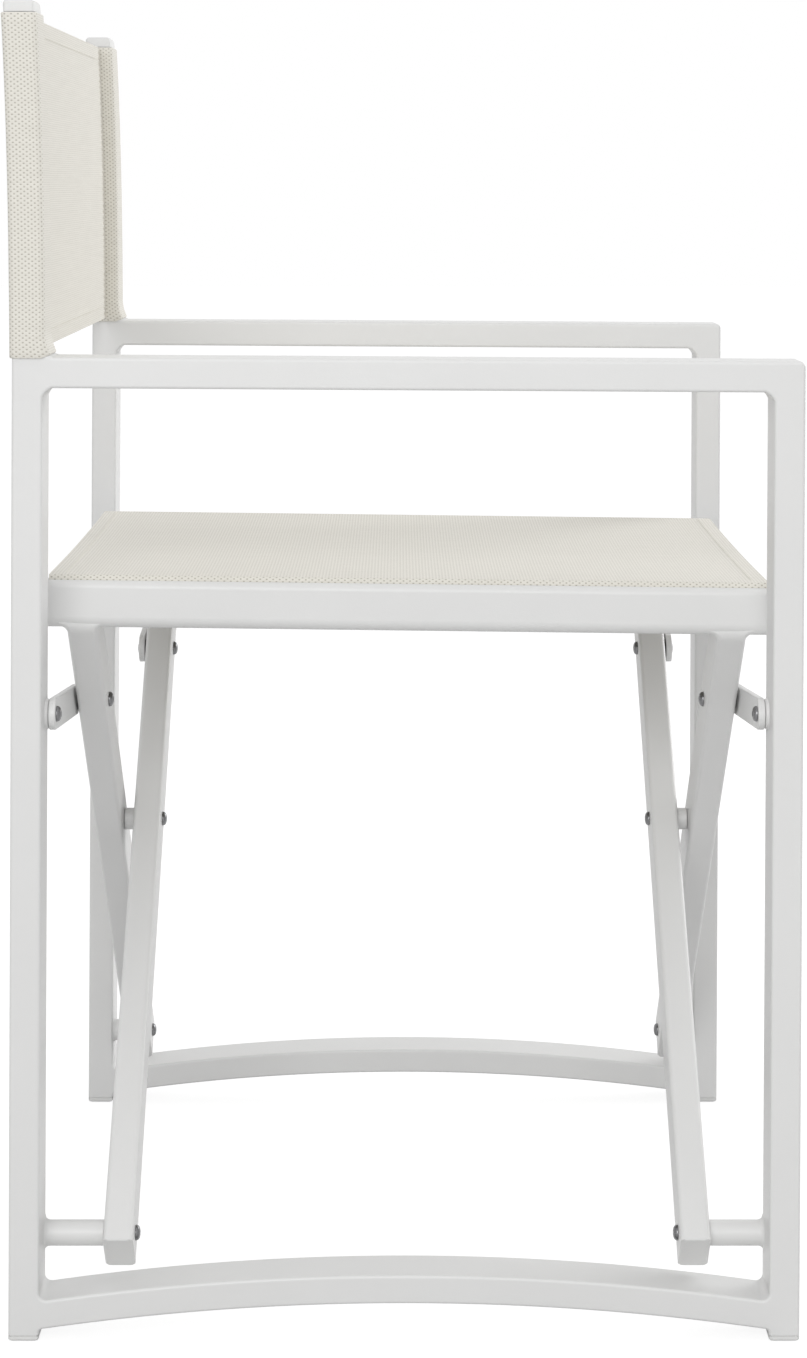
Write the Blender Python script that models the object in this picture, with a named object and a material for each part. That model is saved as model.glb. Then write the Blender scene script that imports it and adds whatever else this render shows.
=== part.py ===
"""Folding directors chair: tube side frames, a scissor of crossed legs, brace links and mesh slings.

Metres, +Z up. +X is the front of the chair and +Y the sitter's left. The origin is on the floor,
midway between the posts and midway between the side frames.
"""
from math import atan2, cos, hypot, pi, radians, sin

import bmesh
import bpy
from mathutils import Matrix, Vector

# Overall sizes
OVERALL_WIDTH = 0.570
POST_SPACING = 0.500
ARM_HEIGHT = 0.646
BACK_HEIGHT = 0.878
SEAT_HEIGHT = 0.490

# Clearances between pieces
CLEARANCE = 0.0003
HOLE_CLEARANCE = 0.0003

# Side frame tube
TUBE_FACE = 0.020
TUBE_DEPTH = 0.040
TUBE_RADIUS = 0.003
BACK_LEAN = 0.0065
BACK_RECLINE = 0.0045
ARM_DROP = 0.003
ARM_NOSE_RADIUS = 0.005
STRETCHER_FACE = 0.019
STRETCHER_END_HEIGHT = 0.017
STRETCHER_RISE = 0.0175
WELD_FLARE = 0.0035
GLIDE_HEIGHT = 0.004
GLIDE_EDGE = 0.0015
CAP_HEIGHT = 0.008
CAP_EDGE = 0.003

# Crossed legs and the rods that they turn on
LEG_FACE = 0.020
LEG_DEPTH = 0.035
LEG_RADIUS = 0.003
LEG_FOOT_OVERHANG = 0.013
LEG_RAIL_OVERLAP = 0.008
FOOT_PIVOT_INSET = 0.037
FOOT_PIVOT_HEIGHT = 0.060
ROD_RADIUS = 0.0085
ROD_HOLE_DEPTH = 0.0075
SPACER_RADIUS = 0.008
CENTRE_BOLT_BITE = 0.012

# Seat rails, with a groove along the top for the sling's beaded edge
RAIL_INSET = 0.042
RAIL_WIDTH = 0.018
RAIL_HEIGHT = 0.032
RAIL_TOP_RADIUS = 0.005
RAIL_UNDER_RADIUS = 0.008
RAIL_BACK_MARGIN = 0.0075
RAIL_FRONT_MARGIN = 0.000
RAIL_DROP = 0.006
RAIL_END_LENGTH = 0.020
RAIL_END_TAPER = 0.70
GROOVE_WIDTH = 0.0056
GROOVE_DEPTH = 0.010
KEDER_RADIUS = 0.0023

# Brace links
FOLD_TRAVEL = radians(29.0)
LINK_THICKNESS = 0.0045
LINK_WIDTH = 0.021
LINK_LEG_OFFSET = 0.162
LINK_POST_INSET = 0.028
BOSS_RADIUS = 0.010
BOSS_MIN_LENGTH = 0.002
WASHER_THICKNESS = 0.0012
WASHER_RADIUS = 0.007
LEG_RUNNING_GAP = 0.0014

# Fasteners
BOLT_RADIUS = 0.003
BOLT_HEAD_RADIUS = 0.0052
BOLT_HEAD_HEIGHT = 0.0028

# Slings
SEAT_FABRIC = 0.0014
SEAT_SAG = 0.006
SEAT_END_MARGIN = 0.003
BACK_FABRIC = 0.0016
SLEEVE_WALL = 0.0014
SLEEVE_ARM_GAP = 0.0015
PANEL_EDGE_MARGIN = 0.0005

# Smoothness of round forms
CORNER_STEPS = 3
ROUND_SIDES = 16
ARCH_STEPS = 14
SAG_STEPS = 16

SIDES = {"right": -1, "left": 1}
ENDS = {"back": -1, "front": 1}

# Places worked out from the sizes above
HALF_WIDTH = OVERALL_WIDTH / 2
HALF_SPACING = POST_SPACING / 2
FRAME_Y = HALF_WIDTH - TUBE_DEPTH / 2
POST_TOP = BACK_HEIGHT - CAP_HEIGHT
FOOT_PIVOT_Y = HALF_WIDTH - FOOT_PIVOT_INSET
RAIL_Y = HALF_WIDTH - TUBE_DEPTH - RAIL_INSET
RAIL_Z = SEAT_HEIGHT - RAIL_HEIGHT / 2

# The legs cross in the middle plane, and both halves turn about that point
LEG_REACH_Y = FOOT_PIVOT_Y + RAIL_Y
LEG_REACH_Z = RAIL_Z - FOOT_PIVOT_HEIGHT
LEG_LENGTH = hypot(LEG_REACH_Y, LEG_REACH_Z)
LEG_ANGLE = atan2(LEG_REACH_Y, LEG_REACH_Z)
LOWER_LENGTH = FOOT_PIVOT_Y / sin(LEG_ANGLE)
UPPER_LENGTH = LEG_LENGTH - LOWER_LENGTH
CENTRE_Z = FOOT_PIVOT_HEIGHT + LOWER_LENGTH * cos(LEG_ANGLE)


def link_leg_place(angle):
    """Leg end of a link, inboard of and above the foot pivot of its own side frame."""
    inboard = (LOWER_LENGTH - LINK_LEG_OFFSET) * sin(angle)
    above = (LOWER_LENGTH + LINK_LEG_OFFSET) * cos(angle)
    return inboard, above


# The post end of a link is as far from its leg end with the chair open as with it folded
LINK_POST_Y = HALF_WIDTH - LINK_POST_INSET
LINK_POST_OUTBOARD = LINK_POST_Y - FOOT_PIVOT_Y
OPEN_Y, OPEN_Z = link_leg_place(LEG_ANGLE)
FOLDED_Y, FOLDED_Z = link_leg_place(LEG_ANGLE - FOLD_TRAVEL)
OPEN_SQUARE = (OPEN_Y + LINK_POST_OUTBOARD) ** 2 + OPEN_Z ** 2
FOLDED_SQUARE = (FOLDED_Y + LINK_POST_OUTBOARD) ** 2 + FOLDED_Z ** 2
LINK_POST_Z = FOOT_PIVOT_HEIGHT + (FOLDED_SQUARE - OPEN_SQUARE) / (2 * (FOLDED_Z - OPEN_Z))
LINK_LEG_Y = FOOT_PIVOT_Y - OPEN_Y
LINK_LEG_Z = FOOT_PIVOT_HEIGHT + OPEN_Z


def post_x(end, height):
    """Centre of a post. The back post leans forward up to the arm, then reclines."""
    if end > 0:
        return HALF_SPACING
    if height <= ARM_HEIGHT:
        return -HALF_SPACING + BACK_LEAN * height / ARM_HEIGHT
    share = (height - ARM_HEIGHT) / (BACK_HEIGHT - ARM_HEIGHT)
    return -HALF_SPACING + BACK_LEAN - BACK_RECLINE * share


def post_inner_x(end, height):
    """Face of a post that looks at the other post of its frame."""
    return post_x(end, height) - end * TUBE_FACE / 2


# From the post inwards: boss, link, washer, outer leg, room for washer and link, inner leg
LEG_MIDDLE_X = (post_inner_x(-1, LINK_POST_Z) + post_inner_x(1, LINK_POST_Z)) / 2
LINK_LAYER = WASHER_THICKNESS + LINK_THICKNESS + 3 * CLEARANCE
POST_HALF_GAP = (post_inner_x(1, LINK_POST_Z) - post_inner_x(-1, LINK_POST_Z)) / 2
OUTER_LEG_OUT = POST_HALF_GAP - CLEARANCE - BOSS_MIN_LENGTH - LINK_LAYER
OUTER_LEG_IN = OUTER_LEG_OUT - LEG_FACE
INNER_LEG_OUT = OUTER_LEG_IN - LINK_LAYER - LEG_RUNNING_GAP
INNER_LEG_IN = INNER_LEG_OUT - LEG_FACE

LEG_PAIRS = {
    "inner": {"foot": -1, "faces": (INNER_LEG_IN, INNER_LEG_OUT), "rail": "left"},
    "outer": {"foot": 1, "faces": (OUTER_LEG_IN, OUTER_LEG_OUT), "rail": "right"},
}
RAIL_BACK_X = -HALF_SPACING + RAIL_BACK_MARGIN
RAIL_FRONT_X = HALF_SPACING - RAIL_FRONT_MARGIN
RAIL_LENGTH = RAIL_FRONT_X - RAIL_BACK_X

BODY_PIVOTS = {
    "right_side_frame": Vector((0, 0, 0)),
    "inner_leg_frame": Vector((0, -FOOT_PIVOT_Y, FOOT_PIVOT_HEIGHT)),
    "outer_leg_frame": Vector((0, 0, CENTRE_Z)),
    "left_side_frame": Vector((0, FOOT_PIVOT_Y, FOOT_PIVOT_HEIGHT)),
    "right_links": Vector((0, -LINK_POST_Y, LINK_POST_Z)),
    "left_links": Vector((0, LINK_POST_Y, LINK_POST_Z)),
}


def clear_scene():
    for old in list(bpy.data.objects):
        bpy.data.objects.remove(old, do_unlink=True)


def make_material(name, colour, roughness, metallic):
    material = bpy.data.materials.new(name)
    material.use_nodes = True
    shader = material.node_tree.nodes["Principled BSDF"]
    shader.inputs["Base Color"].default_value = (*colour, 1.0)
    shader.inputs["Roughness"].default_value = roughness
    shader.inputs["Metallic"].default_value = metallic
    material.diffuse_color = (*colour, 1.0)
    return material


def make_bodies():
    """One empty for each moving body, placed on the axis that it turns about."""
    bodies = {}
    for name, pivot in BODY_PIVOTS.items():
        empty = bpy.data.objects.new(name + "_pivot", None)
        empty.location = pivot
        bpy.context.scene.collection.objects.link(empty)
        bodies[name] = empty
    return bodies


clear_scene()
BODIES = make_bodies()
COAT = make_material("white_powder_coat", (0.80, 0.80, 0.79), 0.42, 0.0)
MESH_FABRIC = make_material("cream_mesh_fabric", (0.74, 0.71, 0.64), 0.85, 0.0)
STEEL = make_material("stainless_steel", (0.55, 0.55, 0.56), 0.30, 1.0)
GLIDE_PLASTIC = make_material("white_glide_plastic", (0.75, 0.75, 0.74), 0.55, 0.0)
KEDER_PLASTIC = make_material("keder_plastic", (0.70, 0.68, 0.62), 0.60, 0.0)


def add_piece(name, body, material, bm):
    """Turns a bmesh in chair coordinates into a named object under its body's pivot."""
    bmesh.ops.recalc_face_normals(bm, faces=bm.faces)
    mesh = bpy.data.meshes.new(name)
    bm.to_mesh(mesh)
    bm.free()
    mesh.transform(Matrix.Translation(-BODY_PIVOTS[body]))
    mesh.shade_smooth()
    mesh.set_sharp_from_angle(angle=radians(35))
    mesh.materials.append(material)
    piece = bpy.data.objects.new(name, mesh)
    bpy.context.scene.collection.objects.link(piece)
    piece.parent = BODIES[body]
    return piece


def arc(centre_u, centre_v, radius, start, stop, steps):
    """Points of an arc, with its angles in degrees."""
    points = []
    for step in range(steps + 1):
        angle = radians(start + (stop - start) * step / steps)
        points.append((centre_u + radius * cos(angle), centre_v + radius * sin(angle)))
    return points


def rounded_rectangle(half_u, half_v, radius, steps=CORNER_STEPS):
    u = half_u - radius
    v = half_v - radius
    points = []
    points += arc(u, v, radius, 0, 90, steps)
    points += arc(-u, v, radius, 90, 180, steps)
    points += arc(-u, -v, radius, 180, 270, steps)
    points += arc(u, -v, radius, 270, 360, steps)
    return points


def skin_rings(bm, rings, join_last_to_first=False):
    loops = [[bm.verts.new(point) for point in ring] for ring in rings]
    count = len(loops[0])
    pairs = list(zip(loops, loops[1:]))
    if join_last_to_first:
        pairs.append((loops[-1], loops[0]))
    for lower, upper in pairs:
        for index in range(count):
            after = (index + 1) % count
            bm.faces.new((lower[index], lower[after], upper[after], upper[index]))
    return loops


def loft(name, body, material, rings):
    """A closed solid through a row of rings, with flat ends."""
    bm = bmesh.new()
    loops = skin_rings(bm, rings)
    bm.faces.new(loops[0])
    bm.faces.new(loops[-1])
    return add_piece(name, body, material, bm)


def circle_yz(x, y, z, radius):
    ring = []
    for side in range(ROUND_SIDES):
        angle = 2 * pi * side / ROUND_SIDES
        ring.append((x, y + radius * cos(angle), z + radius * sin(angle)))
    return ring


def turned(name, body, material, y, z, profile):
    """A solid turned about a line along X, from (x, radius) pairs."""
    rings = [circle_yz(x, y, z, radius) for x, radius in profile]
    return loft(name, body, material, rings)


def turned_ring(name, body, material, y, z, x_start, x_stop, bore, radius):
    """A washer or spacer: a turned solid with a bore right through it."""
    profile = ((x_start, bore), (x_start, radius), (x_stop, radius), (x_stop, bore))
    bm = bmesh.new()
    skin_rings(bm, [circle_yz(x, y, z, r) for x, r in profile], join_last_to_first=True)
    return add_piece(name, body, material, bm)


def cut_with(target, cutter):
    cutter.hide_render = True
    cutter.display_type = "WIRE"
    boolean = target.modifiers.new(cutter.name, "BOOLEAN")
    boolean.operation = "DIFFERENCE"
    boolean.object = cutter


def drill(target, body, y, z, x_start, x_stop, label):
    """A bolt hole along X, with the running clearance round the bolt."""
    radius = BOLT_RADIUS + HOLE_CLEARANCE
    profile = ((x_start, radius), (x_stop, radius))
    cutter = turned(target.name + "_" + label + "_cutter", body, STEEL, y, z, profile)
    cut_with(target, cutter)


def bolt(name, body, seat_x, outward, y, z, shank):
    """A domed bolt whose head sits at seat_x, with its shank pointing along outward."""
    heights_and_radii = ((1.0, 0.45), (0.85, 0.75), (0.45, 0.96), (0.0, 1.0))
    profile = []
    for height, share in heights_and_radii:
        profile.append((seat_x - outward * BOLT_HEAD_HEIGHT * height, BOLT_HEAD_RADIUS * share))
    profile.append((seat_x, BOLT_RADIUS))
    profile.append((seat_x + outward * shank, BOLT_RADIUS))
    return turned(name, body, STEEL, y, z, profile)


def socketed_rod(name, body, y, z, x_post, x_end, radius, hole_depth):
    """A rod welded to a post, flared at the weld, with a blind bolt hole in its free end."""
    along = 1 if x_end > x_post else -1
    length = abs(x_end - x_post)
    flare = min(WELD_FLARE, length / 3)
    hole = BOLT_RADIUS + HOLE_CLEARANCE
    profile = (
        (x_post, radius + flare),
        (x_post + along * flare * 0.3, radius + flare * 0.3),
        (x_post + along * flare, radius),
        (x_end, radius),
        (x_end, hole),
        (x_end - along * hole_depth, hole),
    )
    return turned(name, body, COAT, y, z, profile)


def upright_ring(x, y, z, shrink=0.0):
    """The tube's section cut level, for posts, glides and caps."""
    section = rounded_rectangle(TUBE_FACE / 2 - shrink, TUBE_DEPTH / 2 - shrink, TUBE_RADIUS)
    return [(x + u, y + v, z) for u, v in section]


def level_ring(x, y, z, half_height):
    """The tube's section cut upright, for arms and stretchers."""
    section = rounded_rectangle(TUBE_DEPTH / 2, half_height, TUBE_RADIUS)
    return [(x, y + u, z + v) for u, v in section]


def arm_centre_z(x):
    return ARM_HEIGHT - TUBE_FACE / 2 - ARM_DROP * x / POST_SPACING


def make_posts(side, sign, body):
    y = sign * FRAME_Y
    back_stations = (GLIDE_HEIGHT, ARM_HEIGHT, POST_TOP)
    back_rings = [upright_ring(post_x(-1, z), y, z) for z in back_stations]
    loft(side + "_back_post", body, COAT, back_rings)

    front_outer_x = HALF_SPACING + TUBE_FACE / 2
    front_top = arm_centre_z(front_outer_x) - TUBE_FACE / 2 - CLEARANCE
    front_stations = (GLIDE_HEIGHT, front_top)
    front_rings = [upright_ring(post_x(1, z), y, z) for z in front_stations]
    loft(side + "_front_post", body, COAT, front_rings)


def make_arm(side, sign, body):
    """The arm runs from the back post over the top of the front post to a rounded nose."""
    y = sign * FRAME_Y
    half = TUBE_FACE / 2
    x_back = post_inner_x(-1, ARM_HEIGHT) + CLEARANCE
    x_nose = HALF_SPACING + half
    rings = []
    for x, flare in ((x_back, WELD_FLARE), (x_back + WELD_FLARE * 0.3, WELD_FLARE * 0.3)):
        ring = level_ring(x, y, arm_centre_z(x) - flare / 2, half + flare / 2)
        rings.append(ring)
    rings.append(level_ring(x_back + WELD_FLARE, y, arm_centre_z(x_back), half))
    for angle in (0, 30, 60, 90):
        x = x_nose - ARM_NOSE_RADIUS * (1 - sin(radians(angle)))
        drop = ARM_NOSE_RADIUS * (1 - cos(radians(angle)))
        rings.append(level_ring(x, y, arm_centre_z(x_nose) - drop / 2, half - drop / 2))
    loft(side + "_arm", body, COAT, rings)


def make_stretcher(side, sign, body):
    """The low stretcher arches up between the posts, and flares into them at both welds."""
    y = sign * FRAME_Y
    x_back = post_inner_x(-1, STRETCHER_END_HEIGHT) + CLEARANCE
    x_front = post_inner_x(1, STRETCHER_END_HEIGHT) - CLEARANCE
    middle = (x_back + x_front) / 2
    half_span = (x_front - x_back) / 2
    half = STRETCHER_FACE / 2

    def ring_at(x, flare):
        share = (x - middle) / half_span
        z = STRETCHER_END_HEIGHT + STRETCHER_RISE * (1 - share * share)
        return level_ring(x, y, z, half + flare)

    rings = [ring_at(x_back, WELD_FLARE), ring_at(x_back + WELD_FLARE * 0.3, WELD_FLARE * 0.3)]
    first = x_back + WELD_FLARE
    last = x_front - WELD_FLARE
    for step in range(ARCH_STEPS + 1):
        rings.append(ring_at(first + (last - first) * step / ARCH_STEPS, 0.0))
    rings.append(ring_at(x_front - WELD_FLARE * 0.3, WELD_FLARE * 0.3))
    rings.append(ring_at(x_front, WELD_FLARE))
    loft(side + "_stretcher", body, COAT, rings)


def make_glides_and_cap(side, sign, body):
    y = sign * FRAME_Y
    for end_name, end in ENDS.items():
        x = post_x(end, GLIDE_HEIGHT)
        rings = [
            upright_ring(x, y, 0.0, GLIDE_EDGE),
            upright_ring(x, y, GLIDE_EDGE, 0.0),
            upright_ring(x, y, GLIDE_HEIGHT - CLEARANCE, 0.0),
        ]
        loft(f"{side}_{end_name}_glide", body, GLIDE_PLASTIC, rings)
    base = POST_TOP + CLEARANCE
    rings = [upright_ring(post_x(-1, base), y, base)]
    for angle in (0, 45, 90):
        shrink = CAP_EDGE * (1 - cos(radians(angle)))
        z = BACK_HEIGHT - CAP_EDGE * (1 - sin(radians(angle)))
        rings.append(upright_ring(post_x(-1, z), y, z, shrink * 0.7))
    loft(side + "_post_cap", body, GLIDE_PLASTIC, rings)


def leg_face_x(end, offset):
    return LEG_MIDDLE_X + end * offset


def make_foot_pivots(side, sign, body, pair):
    """Rods from the posts to the feet of a leg pair, and the bolts that the feet turn on."""
    leg_in, leg_out = LEG_PAIRS[pair]["faces"]
    y = sign * FOOT_PIVOT_Y
    z = FOOT_PIVOT_HEIGHT
    for end_name, end in ENDS.items():
        x_post = post_inner_x(end, z) - end * CLEARANCE
        x_rod_end = leg_face_x(end, leg_out) + end * CLEARANCE
        socketed_rod(f"{side}_{end_name}_pivot_rod", body, y, z, x_post, x_rod_end, ROD_RADIUS, ROD_HOLE_DEPTH)
        seat_x = leg_face_x(end, leg_in) - end * CLEARANCE
        shank = LEG_FACE + 2 * CLEARANCE + ROD_HOLE_DEPTH - CLEARANCE
        bolt(f"{side}_{end_name}_foot_bolt", body, seat_x, end, y, z, shank)


def link_inner_x(end, leg_out):
    """Face of a link that looks at the leg beside it."""
    return leg_face_x(end, leg_out + WASHER_THICKNESS + 2 * CLEARANCE)


def make_link_bosses(side, sign, body, pair):
    leg_out = LEG_PAIRS[pair]["faces"][1]
    y = sign * LINK_POST_Y
    for end_name, end in ENDS.items():
        x_post = post_inner_x(end, LINK_POST_Z) - end * CLEARANCE
        x_end = link_inner_x(end, leg_out) + end * (LINK_THICKNESS + CLEARANCE)
        hole_depth = abs(x_end - x_post) / 2
        name = f"{side}_{end_name}_link_boss"
        socketed_rod(name, body, y, LINK_POST_Z, x_post, x_end, BOSS_RADIUS, hole_depth)


def make_links(side, sign, pair):
    """Flat bars with round ends, from the posts to the legs of the pair that reaches this side."""
    body = side + "_links"
    leg_out = LEG_PAIRS[pair]["faces"][1]
    post_end = Vector((sign * LINK_POST_Y, LINK_POST_Z))
    leg_end = Vector((sign * LINK_LEG_Y, LINK_LEG_Z))
    along = (leg_end - post_end).normalized()
    heading = atan2(along.y, along.x) * 180 / pi
    half = LINK_WIDTH / 2
    outline = arc(leg_end.x, leg_end.y, half, heading - 90, heading + 90, 8)
    outline += arc(post_end.x, post_end.y, half, heading + 90, heading + 270, 8)
    for end_name, end in ENDS.items():
        inner = link_inner_x(end, leg_out)
        outer = inner + end * LINK_THICKNESS
        rings = [[(x, y, z) for y, z in outline] for x in (inner, outer)]
        link = loft(f"{side}_{end_name}_link", body, COAT, rings)
        drill(link, body, post_end.x, post_end.y, inner - end * CLEARANCE, outer + end * CLEARANCE, "hole")

        seat_x = inner - end * CLEARANCE
        boss_length = abs(post_inner_x(end, LINK_POST_Z) - outer) - 2 * CLEARANCE
        shank = LINK_THICKNESS + 2 * CLEARANCE + boss_length / 2 - CLEARANCE
        bolt(f"{side}_{end_name}_link_bolt", body, seat_x, end, post_end.x, post_end.y, shank)


def rail_section(grow=0.0, grooved=True, taper=0.0):
    """Section of a seat rail: u outwards from its middle, v up from its middle."""
    half_u = RAIL_WIDTH / 2 + grow
    half_v = RAIL_HEIGHT / 2 + grow
    top = RAIL_TOP_RADIUS + grow
    under = RAIL_UNDER_RADIUS + grow
    groove = GROOVE_WIDTH / 2
    points = []
    if grooved:
        points.append((groove, half_v))
    points += reversed(arc(half_u - top, half_v - top, top, 0, 90, CORNER_STEPS))
    points += reversed(arc(half_u - under, under - half_v, under, 270, 360, CORNER_STEPS))
    points += reversed(arc(under - half_u, under - half_v, under, 180, 270, CORNER_STEPS))
    points += reversed(arc(top - half_u, half_v - top, top, 90, 180, CORNER_STEPS))
    if grooved:
        points.append((-groove, half_v))
        points.append((-groove, half_v - GROOVE_DEPTH))
        points.append((groove, half_v - GROOVE_DEPTH))
    tapered = []
    for u, v in points:
        if u > groove:
            u = groove + (u - groove) * (1 - taper)
        tapered.append((u, v))
    return tapered


def rail_drop(x):
    """The rails fall a little towards the front."""
    middle = (RAIL_BACK_X + RAIL_FRONT_X) / 2
    return -RAIL_DROP * (x - middle) / RAIL_LENGTH


def rail_ring(sign, x, section):
    z = RAIL_Z + rail_drop(x)
    return [(x, sign * (RAIL_Y + u), z + v) for u, v in section]


def make_seat_rail(side, sign, body):
    """The outer corner of each end is rounded off in plan."""
    rings = []
    for angle in (0, 30, 60, 90):
        x = RAIL_BACK_X + RAIL_END_LENGTH * (1 - cos(radians(angle)))
        taper = RAIL_END_TAPER * (1 - sin(radians(angle)))
        rings.append(rail_ring(sign, x, rail_section(taper=taper)))
    for angle in (90, 60, 30, 0):
        x = RAIL_FRONT_X - RAIL_END_LENGTH * (1 - cos(radians(angle)))
        taper = RAIL_END_TAPER * (1 - sin(radians(angle)))
        rings.append(rail_ring(sign, x, rail_section(taper=taper)))
    loft(side + "_seat_rail", body, COAT, rings)

    # The beaded edge lies on the bottom of the groove
    v = RAIL_HEIGHT / 2 - GROOVE_DEPTH + CLEARANCE + KEDER_RADIUS
    rings = []
    for x in (RAIL_BACK_X + SEAT_END_MARGIN, RAIL_FRONT_X - SEAT_END_MARGIN):
        rings.append(circle_yz(x, sign * RAIL_Y, RAIL_Z + rail_drop(x) + v, KEDER_RADIUS))
    loft(side + "_keder_rod", body, KEDER_PLASTIC, rings)


def leg_ring(foot, x_middle, distance):
    """Section of a leg, square to its length, at a distance up from its foot pivot."""
    along = Vector((0, -foot * sin(LEG_ANGLE), cos(LEG_ANGLE)))
    across = Vector((0, foot * cos(LEG_ANGLE), sin(LEG_ANGLE)))
    start = Vector((x_middle, foot * FOOT_PIVOT_Y, FOOT_PIVOT_HEIGHT))
    section = rounded_rectangle(LEG_FACE / 2, LEG_DEPTH / 2, LEG_RADIUS)
    side_step = Vector((1, 0, 0))
    return [start + along * distance + side_step * u + across * v for u, v in section]


def make_leg(pair, end_name, end):
    """A square-cut tube leg, notched round the underside of the seat rail that it carries."""
    setup = LEG_PAIRS[pair]
    body = pair + "_leg_frame"
    foot = setup["foot"]
    leg_in, leg_out = setup["faces"]
    x_middle = leg_face_x(end, (leg_in + leg_out) / 2)
    distances = (-LEG_FOOT_OVERHANG, LEG_LENGTH - LEG_RAIL_OVERLAP)
    rings = [leg_ring(foot, x_middle, distance) for distance in distances]
    leg = loft(f"{pair}_{end_name}_leg", body, COAT, rings)

    section = rail_section(grow=CLEARANCE, grooved=False)
    reach = LEG_FACE
    notch_rings = [rail_ring(-foot, x, section) for x in (x_middle - reach, x_middle + reach)]
    notch = loft(leg.name + "_notch_cutter", body, COAT, notch_rings)
    cut_with(leg, notch)

    near = leg_face_x(end, leg_in - CLEARANCE)
    far = leg_face_x(end, leg_out + CLEARANCE)
    drill(leg, body, foot * FOOT_PIVOT_Y, FOOT_PIVOT_HEIGHT, near, far, "foot")
    drill(leg, body, -foot * LINK_LEG_Y, LINK_LEG_Z, near, far, "link")
    if pair == "outer":
        far = leg_face_x(end, leg_in + CENTRE_BOLT_BITE + CLEARANCE)
    drill(leg, body, 0, CENTRE_Z, near, far, "centre")


def make_leg_fittings(pair, end_name, end):
    """Link bolt and washer on each leg."""
    setup = LEG_PAIRS[pair]
    body = pair + "_leg_frame"
    side = setup["rail"]
    leg_in, leg_out = setup["faces"]
    y = -setup["foot"] * LINK_LEG_Y
    seat_x = leg_face_x(end, leg_in) - end * CLEARANCE
    bolt(f"{side}_{end_name}_leg_bolt", body, seat_x, end, y, LINK_LEG_Z, LEG_FACE)
    start = leg_face_x(end, leg_out + CLEARANCE)
    stop = start + end * WASHER_THICKNESS
    bore = BOLT_RADIUS + HOLE_CLEARANCE
    turned_ring(f"{side}_{end_name}_washer", body, STEEL, y, LINK_LEG_Z, start, stop, bore, WASHER_RADIUS)


def make_centre_pivot(end_name, end):
    """Bolt through the inner leg and a spacer into the outer leg."""
    body = "outer_leg_frame"
    start = leg_face_x(end, INNER_LEG_OUT + CLEARANCE)
    stop = leg_face_x(end, OUTER_LEG_IN - CLEARANCE)
    bore = BOLT_RADIUS + HOLE_CLEARANCE
    turned_ring(end_name + "_centre_spacer", body, COAT, 0, CENTRE_Z, start, stop, bore, SPACER_RADIUS)
    seat_x = leg_face_x(end, INNER_LEG_IN) - end * CLEARANCE
    shank = OUTER_LEG_IN + CENTRE_BOLT_BITE - INNER_LEG_IN
    bolt(end_name + "_centre_bolt", body, seat_x, end, 0, CENTRE_Z, shank)


def ribbon_outline(path, thickness):
    """Both faces of a thin sheet that follows a path in the (y, z) plane."""
    upper = []
    lower = []
    for index, point in enumerate(path):
        before = path[max(index - 1, 0)]
        after = path[min(index + 1, len(path) - 1)]
        normals = []
        for start, stop in ((before, point), (point, after)):
            run = Vector(stop) - Vector(start)
            if run.length > 0:
                normals.append(Vector((-run.y, run.x)).normalized())
        middle = sum(normals, Vector((0, 0))).normalized()
        offset = middle * (thickness / 2 / middle.dot(normals[0]))
        upper.append((point[0] + offset.x, point[1] + offset.y))
        lower.append((point[0] - offset.x, point[1] - offset.y))
    return upper + lower[::-1]


def make_seat_sling():
    """Mesh stretched between the rails, with its edges turned down into their grooves."""
    half = SEAT_FABRIC / 2
    above_rail = RAIL_HEIGHT / 2 + CLEARANCE + half
    edge_end = RAIL_HEIGHT / 2 - GROOVE_DEPTH + 2 * KEDER_RADIUS + 2 * CLEARANCE
    lip = RAIL_WIDTH / 2 - RAIL_TOP_RADIUS
    span = RAIL_Y - lip
    path = [(-RAIL_Y, edge_end), (-RAIL_Y, above_rail)]
    for step in range(SAG_STEPS + 1):
        share = 2 * step / SAG_STEPS - 1
        path.append((share * span, above_rail - SEAT_SAG * (1 - share * share)))
    path += [(RAIL_Y, above_rail), (RAIL_Y, edge_end)]
    outline = ribbon_outline(path, SEAT_FABRIC)
    rings = []
    for x in (RAIL_BACK_X + SEAT_END_MARGIN, RAIL_FRONT_X - SEAT_END_MARGIN):
        z = RAIL_Z + rail_drop(x)
        rings.append([(x, y, z + v) for y, v in outline])
    loft("seat_sling", "inner_leg_frame", MESH_FABRIC, rings)


SLEEVE_BOTTOM = arm_centre_z(-HALF_SPACING) + TUBE_FACE / 2 + SLEEVE_ARM_GAP
SLEEVE_TOP = POST_TOP - CLEARANCE


def make_back_sleeve(side, sign, body):
    """A sewn sleeve that slips down over the top of a back post."""
    y = sign * FRAME_Y
    stations = (SLEEVE_BOTTOM, SLEEVE_TOP)
    grow = CLEARANCE + SLEEVE_WALL
    inner = [upright_ring(post_x(-1, z), y, z, -CLEARANCE) for z in stations]
    outer = [upright_ring(post_x(-1, z), y, z, -grow) for z in stations]
    bm = bmesh.new()
    skin_rings(bm, [inner[0], outer[0], outer[1], inner[1]], join_last_to_first=True)
    add_piece(side + "_back_sleeve", body, MESH_FABRIC, bm)


def make_back_panel():
    """The panel of mesh between the sleeves, at the middle of the posts' thickness."""
    reach = HALF_WIDTH - TUBE_DEPTH - CLEARANCE - SLEEVE_WALL - CLEARANCE
    half = BACK_FABRIC / 2
    rings = []
    for z in (SLEEVE_BOTTOM + PANEL_EDGE_MARGIN, SLEEVE_TOP - PANEL_EDGE_MARGIN):
        x = post_x(-1, z)
        rings.append([(x - half, -reach, z), (x + half, -reach, z), (x + half, reach, z), (x - half, reach, z)])
    loft("back_panel", "right_side_frame", MESH_FABRIC, rings)


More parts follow.
